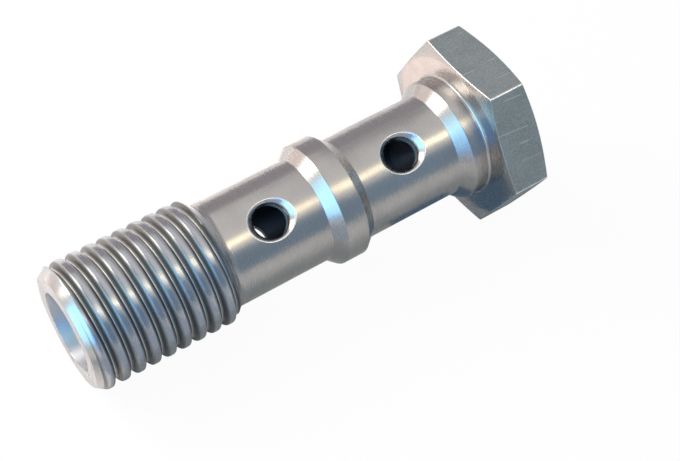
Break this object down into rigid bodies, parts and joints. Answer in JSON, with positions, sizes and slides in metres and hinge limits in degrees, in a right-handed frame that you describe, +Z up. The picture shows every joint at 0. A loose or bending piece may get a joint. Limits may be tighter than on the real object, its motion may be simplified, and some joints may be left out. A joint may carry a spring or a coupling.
{
  "type": "banjo bolt",
  "caption": "Double banjo bolt: hollow hexagon-head screw with a blind axial bore, two cross-drilled shanks and a collar between them.",
  "frame": {"origin": "middle of the underside of the bolt's box, on the surface that it lies on", "axes": "+X runs from the threaded end to the head, +Z up; the bolt lies on a flat of its head and on the start of its thread, so its own axis rises 3.3 degrees towards the head"},
  "size_m": [0.0462, 0.0192, 0.0168],
  "materials": {
    "steel": "bright turned steel, fine drawn grain on the hexagon"
  },
  "bodies": {
    "root": {"banjo_bolt": "steel"}
  },
  "joints": []
}
